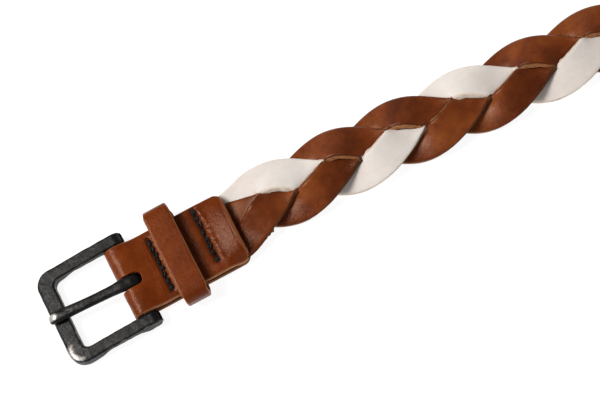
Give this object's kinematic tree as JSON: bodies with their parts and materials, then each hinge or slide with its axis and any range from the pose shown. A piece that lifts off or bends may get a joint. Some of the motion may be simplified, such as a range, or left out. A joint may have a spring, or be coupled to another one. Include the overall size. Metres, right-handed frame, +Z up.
{
  "type": "belt",
  "caption": "Plaited leather belt with an antique metal buckle, folded tab, keeper loop, hand stitching and a pointed plain billet with prong holes.",
  "frame": {"origin": "under the belt's middle, on the surface that it lies on", "axes": "+X from the buckle to the tip, +Z up through the front side, +Y across the belt"},
  "size_m": [1.0816, 0.0494, 0.0146],
  "materials": {
    "tab_leather": "oiled, cut edges",
    "strip_brown": "oiled, cut edges",
    "strip_white": "matt, cut edges",
    "gunmetal": "antique, worn",
    "steel_bar": "satin",
    "staple_wire": "plain",
    "thread": "waxed"
  },
  "bodies": {
    "strap": {"buckle_tab": "tab_leather", "strand_white": "strip_white", "strand_brown_a": "strip_brown", "strand_brown_b": "strip_brown", "tab_stitch_front": "thread", "tab_stitch_rear": "thread", "billet_strap": "tab_leather", "billet_backing": "tab_leather", "billet_stitch_inner": "thread", "billet_stitch_outer": "thread"},
    "buckle": {"buckle_frame": "gunmetal", "heel_bar": "steel_bar"},
    "prong": {"prong": "gunmetal"},
    "keeper": {"keeper_loop": "tab_leather", "keeper_staple": "staple_wire"}
  },
  "joints": [
    {"name": "buckle_swing", "type": "hinge", "parent": "strap", "child": "buckle", "pos_m": [-0.4992, 0, 0.0052], "axis": [0, 1, 0], "range_deg": [0, 35]},
    {"name": "prong_swing", "type": "hinge", "parent": "buckle", "child": "prong", "pos_m": [-0.4992, 0, 0.0052], "axis": [0, 1, 0], "range_deg": [0, 55]},
    {"name": "keeper_slide", "type": "slide", "parent": "strap", "child": "keeper", "axis": [1, 0, 0], "range_m": [0, 0.0065]}
  ]
}
